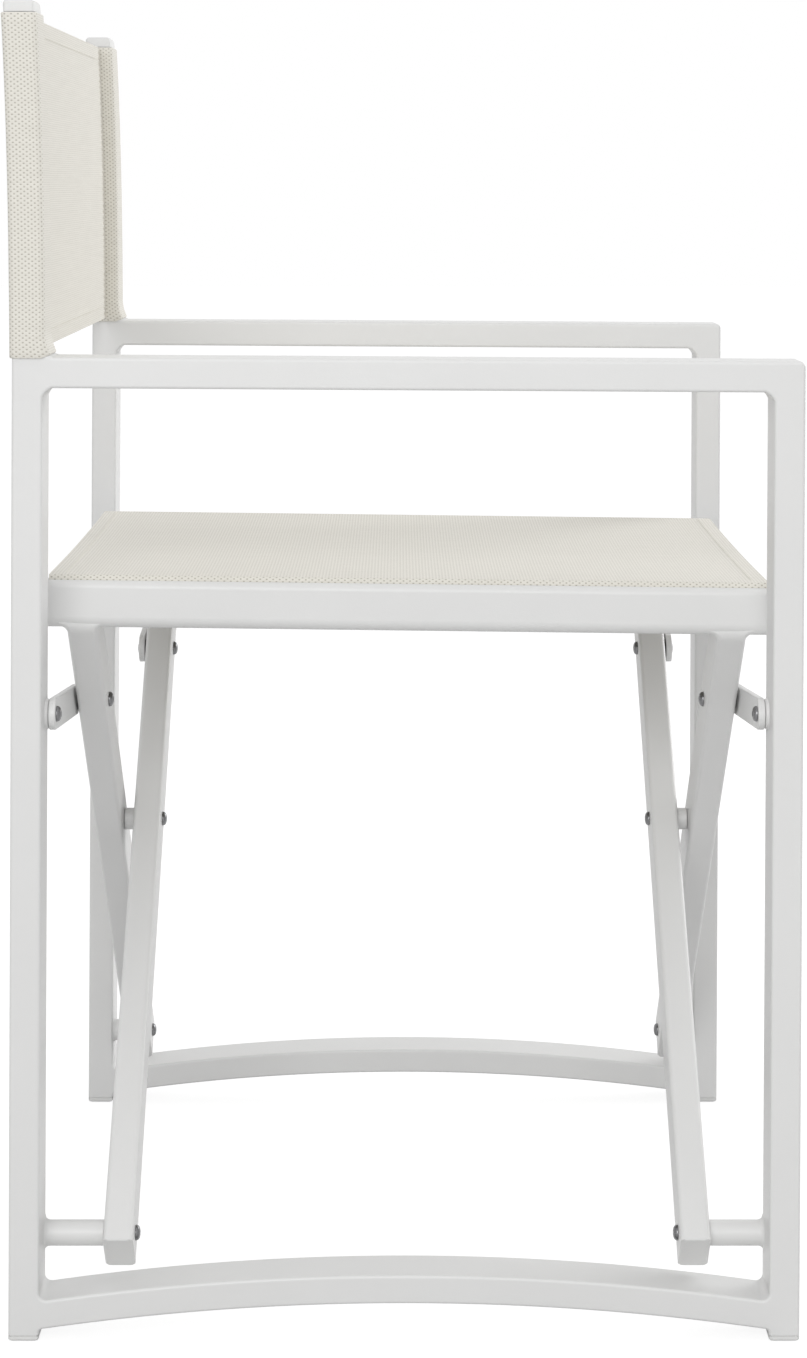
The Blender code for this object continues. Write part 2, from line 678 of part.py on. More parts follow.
def make_chair():
    foot_pairs = {"right": "inner", "left": "outer"}
    link_pairs = {"right": "outer", "left": "inner"}
    for side, sign in SIDES.items():
        frame = side + "_side_frame"
        make_posts(side, sign, frame)
        make_arm(side, sign, frame)
        make_stretcher(side, sign, frame)
        make_glides_and_cap(side, sign, frame)
        make_foot_pivots(side, sign, frame, foot_pairs[side])
        make_link_bosses(side, sign, frame, link_pairs[side])
        make_links(side, sign, link_pairs[side])
        make_back_sleeve(side, sign, frame)
        make_seat_rail(side, sign, link_pairs[side] + "_leg_frame")
    for end_name, end in ENDS.items():
        for pair in LEG_PAIRS:
            make_leg(pair, end_name, end)
            make_leg_fittings(pair, end_name, end)
        make_centre_pivot(end_name, end)
    make_seat_sling()
    make_back_panel()


make_chair()
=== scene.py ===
"""Looks of the folding directors chair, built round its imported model. Metres, in the model's own frame."""

from math import atan2, cos, hypot, pi, radians, sin, sqrt

import bmesh
import bpy
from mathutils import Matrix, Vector
from mathutils.geometry import tessellate_polygon


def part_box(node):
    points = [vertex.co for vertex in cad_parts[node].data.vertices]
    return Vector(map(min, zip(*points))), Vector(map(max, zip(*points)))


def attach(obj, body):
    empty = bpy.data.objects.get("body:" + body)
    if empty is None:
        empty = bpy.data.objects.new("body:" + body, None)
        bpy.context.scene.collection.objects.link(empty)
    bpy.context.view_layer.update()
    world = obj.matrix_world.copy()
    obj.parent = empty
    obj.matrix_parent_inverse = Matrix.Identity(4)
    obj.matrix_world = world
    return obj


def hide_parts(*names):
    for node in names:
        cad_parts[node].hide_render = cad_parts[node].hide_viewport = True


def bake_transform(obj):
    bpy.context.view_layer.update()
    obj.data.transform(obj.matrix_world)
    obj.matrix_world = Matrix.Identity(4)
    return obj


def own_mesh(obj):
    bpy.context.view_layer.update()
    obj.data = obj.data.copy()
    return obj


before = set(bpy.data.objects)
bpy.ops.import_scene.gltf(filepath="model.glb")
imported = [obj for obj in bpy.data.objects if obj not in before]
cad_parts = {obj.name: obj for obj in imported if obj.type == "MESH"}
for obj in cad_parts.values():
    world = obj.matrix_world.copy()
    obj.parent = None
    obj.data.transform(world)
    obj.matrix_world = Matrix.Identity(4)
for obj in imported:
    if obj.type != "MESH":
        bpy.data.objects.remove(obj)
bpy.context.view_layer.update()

# The photograph's frame and the camera that matches it
PHOTO_SIZE = (807, 1358)
PHOTO_FOCAL = 3100.0
PHOTO_AXIS_X = 398.2
CAMERA_PLACE = Vector((-0.0036, -2.285, 0.761))
CAMERA_PITCH = radians(2.92)
CAMERA_SHIFT_Y = -0.25
SENSOR = 36.0

# The model's sides and ends, each with its direction, and the leg pair that carries each seat rail
SIDES = {"right": -1, "left": 1}
ENDS = {"back": -1, "front": 1}
RAIL_PAIR = {"right": "outer", "left": "inner"}

# How finely curves are divided
EDGE_STEPS = 6
CORNER_STEPS = 7
ROUND_SIDES = 48
ARCH_STEPS = 28
POST_STEPS = 14
LEG_RINGS = 44
SEAT_CROSS_STEPS = 56
SEAT_MIDDLE_STEPS = 24
SLEEVE_STEPS = 44
PANEL_STEPS = 60
LINK_END_STEPS = 20
HOLE_SIDES = 24
KEDER_SIDES = 24
STITCH_SIDES = 6
SHARPEST_MITRE = 0.3
NORMAL_WEIGHT = 100

# Side frames: tube edges, weld fillets, and back posts that lean forward up to the arm, then recline
TUBE_EDGE = 0.0020
WELD_FILLET = 0.0046
FOOT_FILLET = 0.0030
ARM_WELD = 0.0062
WELD_FLATNESS = 0.5
ARM_NOSE_RADIUS = 0.0032
BACK_RECLINE = 0.0045
RECLINE_BEND = 2.6
STRETCHER_FACE = 0.019
STRETCHER_FLARE = 0.0035
ARM_DROP = 0.003

# Caps, glides and rods on the posts
CAP_ROUND = 0.0032
CAP_CROWN = 0.75
GLIDE_NECK = 0.0006
GLIDE_NECK_INSET = 0.0007
GLIDE_ROUND = 0.0018
WELD_SEAT = 0.0006
ROD_FILLET = 0.0038
BOSS_FILLET = 0.0014
ROD_END_EDGE = 0.0007
ROD_RADII = {"pivot_rod": 0.0085, "link_boss": 0.0100}

# Bolts, washers, spacers and links
BOLT_HEAD_RADIUS = 0.0052
BOLT_HEAD_HEIGHT = 0.0028
BOLT_RADIUS = 0.0030
BOLT_CHAMFER = 0.0004
DOME_START = 12
DOME_SWEEP = 60
DOME_FULLNESS = 0.78
SOCKET_RADIUS = 0.0023
SOCKET_DEPTH = 0.0017
SOCKET_DRAFT = 0.96
BORE = 0.0033
WASHER_RADIUS = 0.0070
WASHER_EDGE = 0.0002
SPACER_RADIUS = 0.0080
SPACER_EDGE = 0.0006
LINK_HALF = 0.0105
LINK_EDGE = 0.0008
RIVET_RADIUS = 0.0050
RIVET_HEIGHT = 0.0012
RIVET_START = 15
RIVET_CROWN = 0.0004

# Seat rails, their grooves and the edge rods in them
RAIL_DROP = 0.006
RAIL_TOP_RADIUS = 0.005
RAIL_UNDER_RADIUS = 0.008
RAIL_END_LENGTH = 0.032
RAIL_END_TAPER = 0.70
GROOVE_WIDTH = 0.0056
GROOVE_DEPTH = 0.010
GROOVE_LIP = 0.0006
KEDER_RADIUS = 0.0023
KEDER_ROUND = 0.0012

# Legs
LEG_DEPTH = 0.035
LEG_FACE = 0.020
LEG_EDGE = 0.003
LEG_FILLET = 0.0055
LEG_FOOT_OVERHANG = 0.0148
LEG_FOOT_EDGE = 0.0008
LEG_EMBED = 0.0006
LEG_WELD_INSET = 0.0018
LEG_BEND = 0.0040
LEG_TOP_MARGIN = 0.004
LEG_SEARCH = 0.06
LEG_SEARCH_STEP = 0.0002

# Cloth: weave, hems and stitches
WEAVE_COLUMN = 0.0022
WEAVE_ROW = 0.0015
SLUB_ALONG = 14.0
SLUB_ACROSS = 420.0
HEM_WIDTH = 0.014
HEM_STEP = 0.0015
HEM_RISE = 0.00022
PANEL_HEM_RISE = 0.00010
HEM_BANDS = (0.0, 0.0006, 0.006, 0.0120, 0.0128, 0.0136, 0.0145)
STITCH_LENGTH = 0.0034
STITCH_GAP = 0.0012
STITCH_RADIUS = 0.00030
STITCH_INSET = 0.0105

# Seat sling, sleeves and back panel
SEAT_THICKNESS = 0.0014
SEAT_SAG = 0.0015
SEAT_LIFT = 0.0016
SEAT_CORNER = 0.006
GROOVE_BEND = 0.0032
KEDER_COVER = 0.0006
SLEEVE_WALL = 0.0014
SLEEVE_ROLL = 0.0004
SLEEVE_GAP = 0.0003
SLEEVE_RADIUS = 0.0042
SLEEVE_FLARE = 0.0030
SLEEVE_FLARE_HEIGHT = 0.014
SLEEVE_DROP = 0.0022
SLEEVE_BANDS = (0.0, 0.0008, *HEM_BANDS[2:])
PANEL_THICKNESS = 0.0015
PANEL_CLEAR_LOW = 0.0004
PANEL_CLEAR_HIGH = 0.0002

# Floor and light
FLOOR_SIZE = 40.0
FLOOR_DROP = 0.0004
FLOOR_WHITE = 0.86
FLOOR_SEEN_TONE = 0.26
FLOOR_TONE = 0.52
FLOOR_ROUGHNESS = 0.9
WORLD_LIGHT = 0.65

LAMPS = {
    "top_soft_box": {"place": (0.3, -0.4, 2.6), "target": (0, 0, 0.4), "size": 1.8, "power": 4.0},
    "camera_side_fill": {"place": (-0.3, -3.1, 1.5), "target": (0, 0, 0.45), "size": 1.8, "power": 38.0},
    "front_fill": {"place": (2.2, 2.0, 1.4), "target": (0, 0, 0.6), "size": 1.6, "power": 40.0},
}

# One stitch along its length: share of the length, then rise and thickness in radii
STITCH_PROFILE = (
    (0.0, -0.6, 0.5),
    (0.12, 0.3, 0.95),
    (0.5, 0.75, 1.0),
    (0.88, 0.3, 0.95),
    (1.0, -0.6, 0.5),
)

# The range that noise mostly covers
NOISE_LOW = 0.3
NOISE_HIGH = 0.7

# Colours
COAT_COLOURS = ((0.722, 0.722, 0.716), (0.758, 0.758, 0.752))
YARN_COLOURS = ((0.735, 0.712, 0.650), (0.800, 0.778, 0.715))
# Painted shade: the darker colour given to the mesh's openings, for the shade seen through them
GAP_SHADE_COLOUR = (0.470, 0.445, 0.385)
THREAD_COLOURS = ((0.70, 0.675, 0.61), (0.80, 0.775, 0.71))
STEEL_COLOURS = ((0.13, 0.13, 0.135), (0.26, 0.26, 0.265))
GLIDE_COLOURS = ((0.72, 0.72, 0.71), (0.78, 0.78, 0.77))
KEDER_COLOURS = ((0.64, 0.62, 0.56), (0.70, 0.68, 0.62))


# Nodes of materials

def new_material(name):
    material = bpy.data.materials.new(name)
    material.use_nodes = True
    tree = material.node_tree
    return material, tree, tree.nodes["Principled BSDF"]


def add_node(tree, kind, **values):
    """A node with its properties, or its inputs by name, set from values."""
    node = tree.nodes.new(kind)
    for key, value in values.items():
        if hasattr(node, key):
            setattr(node, key, value)
        else:
            node.inputs[key.replace("_", " ")].default_value = value
    return node


def noise(tree, source, scale, detail=3.0):
    node = add_node(tree, "ShaderNodeTexNoise", Scale=scale, Detail=detail)
    tree.links.new(source, node.inputs["Vector"])
    return node.outputs["Fac"]


def object_place(tree):
    return add_node(tree, "ShaderNodeTexCoord").outputs["Object"]


def math(tree, operation, first, second=None):
    node = add_node(tree, "ShaderNodeMath", operation=operation)
    for socket, value in zip(node.inputs, (first, second)):
        if value is None:
            continue
        if isinstance(value, (int, float)):
            socket.default_value = value
        else:
            tree.links.new(value, socket)
    return node.outputs[0]


def spread(tree, source, low, high, to_low, to_high, smooth=False):
    node = add_node(tree, "ShaderNodeMapRange")
    if smooth:
        node.interpolation_type = "SMOOTHSTEP"
    for socket, value in zip(node.inputs[1:5], (low, high, to_low, to_high)):
        socket.default_value = value
    tree.links.new(source, node.inputs[0])
    return node.outputs[0]


def mix_colours(tree, factor, first, second):
    node = add_node(tree, "ShaderNodeMix", data_type="RGBA")
    tree.links.new(factor, node.inputs[0])
    for socket, value in ((node.inputs[6], first), (node.inputs[7], second)):
        if isinstance(value, tuple):
            socket.default_value = (*value, 1.0)
        else:
            tree.links.new(value, socket)
    return node.outputs[2]


def vary_roughness(tree, shader, source, low, high):
    varied = spread(tree, source, NOISE_LOW, NOISE_HIGH, low, high)
    tree.links.new(varied, shader.inputs["Roughness"])


def bump(tree, shader, height, strength, distance):
    node = add_node(tree, "ShaderNodeBump", Strength=strength, Distance=distance)
    tree.links.new(height, node.inputs["Height"])
    tree.links.new(node.outputs["Normal"], shader.inputs["Normal"])


def powder_coat():
    """White satin powder coat with its fine orange peel."""
    material, tree, shader = new_material("white_powder_coat")
    place = object_place(tree)
    tone = noise(tree, place, scale=14.0, detail=4.0)
    colour = mix_colours(tree, tone, *COAT_COLOURS)
    tree.links.new(colour, shader.inputs["Base Color"])
    peel = noise(tree, place, scale=900.0, detail=2.0)
    vary_roughness(tree, shader, peel, low=0.36, high=0.46)
    bump(tree, shader, peel, strength=0.10, distance=0.0003)
    return material


def woven_mesh():
    """Cream mesh of flat yarns at its real pitch, with an opening in every other crossing that is painted
    with shade.
    """
    material, tree, shader = new_material("cream_woven_mesh")
    flat = add_node(tree, "ShaderNodeSeparateXYZ")
    tree.links.new(add_node(tree, "ShaderNodeUVMap", uv_map="flat").outputs["UV"], flat.inputs[0])
    across = math(tree, "MULTIPLY", flat.outputs["X"], pi / WEAVE_COLUMN)
    along = math(tree, "MULTIPLY", flat.outputs["Y"], pi / WEAVE_ROW)
    crossing = math(tree, "MULTIPLY", math(tree, "COSINE", across), math(tree, "COSINE", along))
    gap_shade = spread(tree, crossing, low=0.30, high=0.85, to_low=0.0, to_high=1.0, smooth=True)
    place = object_place(tree)
    slub_place = add_node(tree, "ShaderNodeCombineXYZ")
    tree.links.new(math(tree, "MULTIPLY", flat.outputs["X"], SLUB_ALONG), slub_place.inputs[0])
    tree.links.new(math(tree, "MULTIPLY", flat.outputs["Y"], SLUB_ACROSS), slub_place.inputs[1])
    slubs = noise(tree, slub_place.outputs[0], scale=1.0, detail=2.0)
    slubs = spread(tree, slubs, low=0.35, high=0.65, to_low=0.0, to_high=1.0)
    blotches = noise(tree, place, scale=160.0, detail=3.0)
    yarn_tone = math(tree, "MULTIPLY", math(tree, "ADD", slubs, blotches), 0.5)
    yarn = mix_colours(tree, yarn_tone, *YARN_COLOURS)
    # Painted shade: the weave's openings are coloured dark
    colour = mix_colours(tree, gap_shade, yarn, GAP_SHADE_COLOUR)
    tree.links.new(colour, shader.inputs["Base Color"])
    shader.inputs["Roughness"].default_value = 0.72
    shader.inputs["Sheen Weight"].default_value = 0.10
    shader.inputs["Sheen Roughness"].default_value = 0.50
    bump(tree, shader, crossing, strength=0.35, distance=-0.0003)
    return material


def sewing_thread():
    material, tree, shader = new_material("cream_thread")
    place = object_place(tree)
    twist = noise(tree, place, scale=2600.0, detail=2.0)
    colour = mix_colours(tree, twist, *THREAD_COLOURS)
    tree.links.new(colour, shader.inputs["Base Color"])
    shader.inputs["Roughness"].default_value = 0.65
    bump(tree, shader, twist, strength=0.25, distance=0.0002)
    return material


def bright_steel():
    """Stainless fasteners, with a little turning grain."""
    material, tree, shader = new_material("stainless_steel")
    place = object_place(tree)
    grain = noise(tree, place, scale=1800.0, detail=3.0)
    colour = mix_colours(tree, grain, *STEEL_COLOURS)
    tree.links.new(colour, shader.inputs["Base Color"])
    shader.inputs["Metallic"].default_value = 1.0
    vary_roughness(tree, shader, grain, low=0.24, high=0.38)
    bump(tree, shader, grain, strength=0.08, distance=0.0002)
    return material


def moulded_plastic(name, colours):
    material, tree, shader = new_material(name)
    place = object_place(tree)
    grain = noise(tree, place, scale=1300.0, detail=3.0)
    colour = mix_colours(tree, grain, *colours)
    tree.links.new(colour, shader.inputs["Base Color"])
    vary_roughness(tree, shader, grain, low=0.50, high=0.62)
    bump(tree, shader, grain, strength=0.15, distance=0.0002)
    return material


COAT = powder_coat()
MESH = woven_mesh()
THREAD = sewing_thread()
STEEL = bright_steel()
GLIDE_PLASTIC = moulded_plastic("white_moulded_plastic", GLIDE_COLOURS)
KEDER_PLASTIC = moulded_plastic("cream_keder_plastic", KEDER_COLOURS)


# Mesh tools

def add_piece(name, bm, material, sharp=40.0):
    """Turns a bmesh into a named object with smooth faces, made sharp past the given angle."""
    bmesh.ops.recalc_face_normals(bm, faces=bm.faces)
    mesh = bpy.data.meshes.new(name)
    bm.to_mesh(mesh)
    bm.free()
    mesh.shade_smooth()
    mesh.set_sharp_from_angle(angle=radians(sharp))
    mesh.materials.append(material)
    piece = bpy.data.objects.new(name, mesh)
    bpy.context.scene.collection.objects.link(piece)
    return piece


def weigh_normals(piece):
    weighted = piece.modifiers.new("flat_faces", "WEIGHTED_NORMAL")
    weighted.weight = NORMAL_WEIGHT
    weighted.keep_sharp = True
    return piece


def dress(piece, body, *nodes):
    """The piece stands for nodes and moves with their body."""
    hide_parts(*nodes)
    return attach(piece, body)


def arc(u, v, radius, start, stop, steps):
    points = []
    for step in range(steps + 1):
        angle = radians(start + (stop - start) * step / steps)
        points.append((u + radius * cos(angle), v + radius * sin(angle)))
    return points


def rounded_rectangle(half_u, half_v, radius, steps=CORNER_STEPS):
    u = half_u - radius
    v = half_v - radius
    points = arc(u, v, radius, 0, 90, steps)
    points += arc(-u, v, radius, 90, 180, steps)
    points += arc(-u, -v, radius, 180, 270, steps)
    points += arc(u, -v, radius, 270, 360, steps)
    return points


def skin(bm, rings, closed=False):
    loops = [[bm.verts.new(point) for point in ring] for ring in rings]
    pairs = list(zip(loops, loops[1:]))
    if closed:
        pairs.append((loops[-1], loops[0]))
    count = len(loops[0])
    for lower, upper in pairs:
        for index in range(count):
            after = (index + 1) % count
            bm.faces.new((lower[index], lower[after], upper[after], upper[index]))
    return loops


def loft(rings):
    """A closed solid through rings of equal count, with flat ends."""
    bm = bmesh.new()
    loops = skin(bm, rings)
    bm.faces.new(loops[0])
    bm.faces.new(loops[-1])
    return bm


def circle(x, y, z, radius, sides=ROUND_SIDES):
    ring = []
    for side in range(sides):
        angle = 2 * pi * side / sides
        ring.append((x, y + radius * cos(angle), z + radius * sin(angle)))
    return ring


def turned(y, z, profile):
    """A solid turned about a line along X, from (x, radius) pairs."""
    return loft([circle(x, y, z, radius) for x, radius in profile])


def turned_ring(y, z, profile):
    """A turned solid whose profile closes on itself, round a bore."""
    bm = bmesh.new()
    skin(bm, [circle(x, y, z, radius) for x, radius in profile], closed=True)
    return bm


def rounded_outline(corners, steps=CORNER_STEPS):
    """A closed outline through (u, v, fillet radius) corners. A weld bead adds its flatness to its corner."""
    points = []
    count = len(corners)
    for index, (u, v, radius, *flatness) in enumerate(corners):
        corner = Vector((u, v))
        if radius == 0:
            points.append(corner)
            continue
        before = (Vector(corners[index - 1][:2]) - corner).normalized()
        after = (Vector(corners[(index + 1) % count][:2]) - corner).normalized()
        half_angle = before.angle(after) / 2
        tangent = radius / (sin(half_angle) / cos(half_angle))
        middle = corner + (before + after).normalized() * radius / sin(half_angle)
        first = corner + before * tangent - middle
        last = corner + after * tangent - middle
        turn = first.angle_signed(last)
        start = atan2(first.y, first.x)
        for step in range(steps + 1):
            angle = start - turn * step / steps
            rounded = radius * Vector((cos(angle), sin(angle)))
            straight = first.lerp(last, step / steps)
            points.append(middle + rounded.lerp(straight, sum(flatness)))
    return points


def signed_area(outline):
    total = 0.0
    for index, point in enumerate(outline):
        after = outline[(index + 1) % len(outline)]
        total += point[0] * after[1] - after[0] * point[1]
    return total / 2


def inset(outline, distance):
    """The outline moved to its left by distance, which is inwards where it runs anticlockwise."""
    moved = []
    count = len(outline)
    for index in range(count):
        point = Vector(outline[index])
        before = (point - Vector(outline[index - 1])).normalized()
        after = (Vector(outline[(index + 1) % count]) - point).normalized()
        left = Vector((-before.y, before.x)) + Vector((-after.y, after.x))
        left.normalize()
        reach = max(left.dot(Vector((-after.y, after.x))), SHARPEST_MITRE)
        moved.append(point + left * (distance / reach))
    return moved


def plate(outer, holes, low, high, edge, place, square_ends=()):
    """A flat solid with rounded edges. place turns (u, v, w) into a point, and w runs from low to high.

    Points at the heights in square_ends, where a tube is cut off, keep their height.
    """

    def drawn_in(points, shrink):
        moved = inset(points, shrink)
        for point, old in zip(moved, points):
            if old.y in square_ends:
                point.y = old.y
        return moved

    outlines = []
    for outline, anticlockwise in [(outer, True)] + [(hole, False) for hole in holes]:
        points = [Vector(point) for point in outline]
        if (signed_area(points) > 0) != anticlockwise:
            points.reverse()
        outlines.append(points)
    levels = []
    for step in range(EDGE_STEPS + 1):
        angle = pi / 2 * step / EDGE_STEPS
        levels.append((low + edge * (1 - sin(angle)), edge * (1 - cos(angle))))
    levels = levels[::-1] + [(low + high - w, shrink) for w, shrink in levels]
    levels = sorted(levels)
    bm = bmesh.new()
    caps = {0: [], len(levels) - 1: []}
    for points in outlines:
        rings = []
        for w, shrink in levels:
            rings.append([place(p.x, p.y, w) for p in drawn_in(points, shrink)])
        loops = skin(bm, rings)
        for level in caps:
            caps[level] += loops[level]
    flat = [[Vector((p.x, p.y, 0)) for p in drawn_in(points, edge)] for points in outlines]
    for triangle in tessellate_polygon(flat):
        for verts in caps.values():
            bm.faces.new([verts[index] for index in triangle])
    return bm


# Places read from the model

def middle(node):
    low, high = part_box(node)
    return (low + high) / 2


POST_LOW, POST_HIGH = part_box("right_back_post")
FRONT_LOW, FRONT_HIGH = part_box("right_front_post")
ARM_LOW, ARM_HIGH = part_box("right_arm")
STRETCHER_LOW, STRETCHER_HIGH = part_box("right_stretcher")
TUBE_FACE = FRONT_HIGH.x - FRONT_LOW.x
TUBE_DEPTH = FRONT_HIGH.y - FRONT_LOW.y
BACK_LEAN = POST_HIGH.x - POST_LOW.x - TUBE_FACE
ARM_TOP = ARM_HIGH.z - ARM_DROP / 2
BACK_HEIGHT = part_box("right_post_cap")[1].z
RAIL_LOW, RAIL_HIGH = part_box("right_seat_rail")
RAIL_WIDTH = RAIL_HIGH.y - RAIL_LOW.y
RAIL_HEIGHT = RAIL_HIGH.z - RAIL_LOW.z - RAIL_DROP
RAIL_Y = -middle("right_seat_rail").y
RAIL_Z = middle("right_seat_rail").z
SEAT_LOW, SEAT_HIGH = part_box("seat_sling")
SLEEVE_LOW, SLEEVE_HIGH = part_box("right_back_sleeve")
PANEL_LOW, PANEL_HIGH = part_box("back_panel")


def post_x(z):
    """Middle of a back post."""
    foot = POST_LOW.x + TUBE_FACE / 2
    if z <= ARM_TOP:
        return foot + BACK_LEAN * z / ARM_TOP
    return foot + BACK_LEAN - BACK_RECLINE * ((z - ARM_TOP) / (BACK_HEIGHT - ARM_TOP)) ** RECLINE_BEND


def arm_top(x):
    share = (x - ARM_LOW.x) / (ARM_HIGH.x - ARM_LOW.x)
    return ARM_HIGH.z - ARM_DROP * share


def stretcher_points(offset):
    """The arch of the low stretcher, from back to front, moved up by offset."""
    ends = (STRETCHER_LOW.x, STRETCHER_HIGH.x)
    crown = STRETCHER_HIGH.z - STRETCHER_FACE / 2
    fall = crown - (STRETCHER_LOW.z + STRETCHER_FACE / 2 + STRETCHER_FLARE)
    points = []
    for step in range(ARCH_STEPS + 1):
        share = 2 * step / ARCH_STEPS - 1
        x = ends[0] + (ends[1] - ends[0]) * step / ARCH_STEPS
        points.append((x, crown - fall * share * share + offset, 0.0))
    return points


# Side frames and their fittings

def frame_outlines():
    """Outer outline and window of a welded side frame, as (x, z) points."""
    half = TUBE_FACE / 2
    foot = POST_LOW.z
    top = POST_HIGH.z
    under = stretcher_points(-STRETCHER_FACE / 2)
    over = stretcher_points(STRETCHER_FACE / 2)
    under_end = under[0][1]
    over_end = over[0][1]
    arm_meets = arm_top(ARM_LOW.x)
    arm_under = arm_meets - TUBE_FACE
    outer = [(post_x(foot) - half, foot, 0.0), (post_x(foot) + half, foot, 0.0)]
    outer.append((post_x(under_end) + half, under_end, FOOT_FILLET))
    outer += under[1:-1]
    outer.append((FRONT_LOW.x, under[-1][1], FOOT_FILLET))
    outer += [(FRONT_LOW.x, foot, 0.0), (FRONT_HIGH.x, foot, 0.0)]
    outer.append((FRONT_HIGH.x, arm_top(FRONT_HIGH.x), ARM_NOSE_RADIUS))
    outer.append((post_x(arm_meets) + half, arm_meets, ARM_WELD, WELD_FLATNESS))
    heights = [top + (ARM_TOP - top) * step / POST_STEPS for step in range(POST_STEPS + 1)]
    outer += [(post_x(z) + half, z, 0.0) for z in reversed(heights[:-1])]
    outer += [(post_x(z) - half, z, 0.0) for z in heights]
    window = [(post_x(over_end) + half, over_end, WELD_FILLET)]
    window += over[1:-1]
    window.append((FRONT_LOW.x, over[-1][1], WELD_FILLET))
    window.append((FRONT_LOW.x, arm_top(FRONT_LOW.x) - TUBE_FACE, ARM_WELD, WELD_FLATNESS))
    window.append((post_x(arm_under) + half, arm_under, ARM_WELD, WELD_FLATNESS))
    return rounded_outline(outer), rounded_outline(window)


def make_side_frame(side):
    """Posts, arm and stretcher are welded and coated, so they are one surface."""
    low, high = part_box(side + "_front_post")
    outer, window = frame_outlines()
    cut_ends = {Vector((0, height)).y for height in (POST_LOW.z, POST_HIGH.z)}
    bm = plate(outer, [window], low.y, high.y, TUBE_EDGE, lambda u, v, w: (u, w, v), cut_ends)
    piece = weigh_normals(add_piece(side + "_welded_frame", bm, COAT))
    nodes = [f"{side}_{part}" for part in ("back_post", "front_post", "arm", "stretcher")]
    dress(piece, side + "_side_frame", *nodes)


def upright_ring(x, y, z, grow=0.0, radius=TUBE_EDGE):
    section = rounded_rectangle(TUBE_FACE / 2 + grow, TUBE_DEPTH / 2 + grow, radius)
    return [(x + u, y + v, z) for u, v in section]


def make_glides(side):
    """A moulded foot under each post, with a narrow neck below the tube."""
    for end in ENDS:
        name = f"{side}_{end}_glide"
        low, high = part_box(name)
        x, y = middle(name).x, middle(name).y
        rings = []
        for step in range(EDGE_STEPS + 1):
            angle = pi / 2 * step / EDGE_STEPS
            shrink = GLIDE_ROUND * (1 - sin(angle))
            rings.append(upright_ring(x, y, low.z + GLIDE_ROUND * (1 - cos(angle)), -shrink))
        shoulder = high.z - GLIDE_NECK
        rings.append(upright_ring(x, y, shoulder, 0.0))
        rings.append(upright_ring(x, y, shoulder, -GLIDE_NECK_INSET))
        rings.append(upright_ring(x, y, high.z, -GLIDE_NECK_INSET))
        dress(add_piece(name + "_foot", loft(rings), GLIDE_PLASTIC), side + "_side_frame", name)


def make_cap(side):
    """A moulded cap on the top of the back post, with a crowned top."""
    name = side + "_post_cap"
    low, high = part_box(name)
    y = middle(name).y
    rings = [upright_ring(post_x(low.z), y, low.z)]
    for step in range(EDGE_STEPS + 1):
        angle = pi / 2 * step / EDGE_STEPS
        z = high.z - CAP_ROUND * (1 - sin(angle))
        rings.append(upright_ring(post_x(z), y, z, -CAP_ROUND * CAP_CROWN * (1 - cos(angle))))
    dress(add_piece(name + "_crown", loft(rings), GLIDE_PLASTIC), side + "_side_frame", name)


def fillet_profile(x, along, radius, fillet):
    """Turned profile of a concave weld fillet at x, from the wall outwards."""
    profile = []
    for step in range(EDGE_STEPS + 1):
        angle = pi / 2 * step / EDGE_STEPS
        reach = fillet * (1 - cos(angle))
        profile.append((x + along * reach, radius + fillet * (1 - sin(angle))))
    return profile


def make_rod(name, body, end, fillet):
    """A rod welded to the inner face of a post, with its free end towards the middle of the chair."""
    low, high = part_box(name)
    y, z = middle(name).y, middle(name).z
    wall, free = (low.x, high.x) if end < 0 else (high.x, low.x)
    wall += end * WELD_SEAT
    along = -end
    radius = ROD_RADII[name.split("_", 2)[2]]
    profile = fillet_profile(wall, along, radius, min(fillet, abs(free - wall) / 2))
    profile.append((free - along * ROD_END_EDGE, radius))
    profile.append((free, radius - ROD_END_EDGE))
    dress(add_piece(name + "_weld", turned(y, z, profile), COAT), body, name)


def make_rods(side):
    for end_name, end in ENDS.items():
        make_rod(f"{side}_{end_name}_pivot_rod", side + "_side_frame", end, ROD_FILLET)
        make_rod(f"{side}_{end_name}_link_boss", side + "_side_frame", end, BOSS_FILLET)


# Fasteners and links

def hexagon(x, y, z, radius):
    """A six-sided ring with as many points as a round one."""
    ring = []
    for side in range(ROUND_SIDES):
        angle = 2 * pi * side / ROUND_SIDES
        turn = (angle % (pi / 3)) - pi / 6
        reach = radius * cos(pi / 6) / cos(turn)
        ring.append((x, y + reach * cos(angle), z + reach * sin(angle)))
    return ring


def make_bolt(name, body, end):
    """A domed head with a hexagon socket towards the middle of the chair, and a shank towards the post."""
    low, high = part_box(name)
    y, z = middle(name).y, middle(name).z
    crown, tail = (high.x, low.x) if end < 0 else (low.x, high.x)
    seat = crown + end * BOLT_HEAD_HEIGHT
    rings = [circle(tail, y, z, BOLT_RADIUS - BOLT_CHAMFER)]
    rings.append(circle(tail - end * BOLT_CHAMFER, y, z, BOLT_RADIUS))
    rings.append(circle(seat, y, z, BOLT_RADIUS))
    rings.append(circle(seat, y, z, BOLT_HEAD_RADIUS))
    for step in range(EDGE_STEPS + 1):
        angle = radians(DOME_START + DOME_SWEEP * step / EDGE_STEPS)
        x = seat - end * BOLT_HEAD_HEIGHT * sin(angle)
        rings.append(circle(x, y, z, BOLT_HEAD_RADIUS * cos(angle * DOME_FULLNESS)))
    rings.append(hexagon(crown, y, z, SOCKET_RADIUS))
    rings.append(hexagon(crown + end * SOCKET_DEPTH, y, z, SOCKET_RADIUS * SOCKET_DRAFT))
    dress(add_piece(name + "_socket", loft(rings), STEEL, sharp=30.0), body, name)


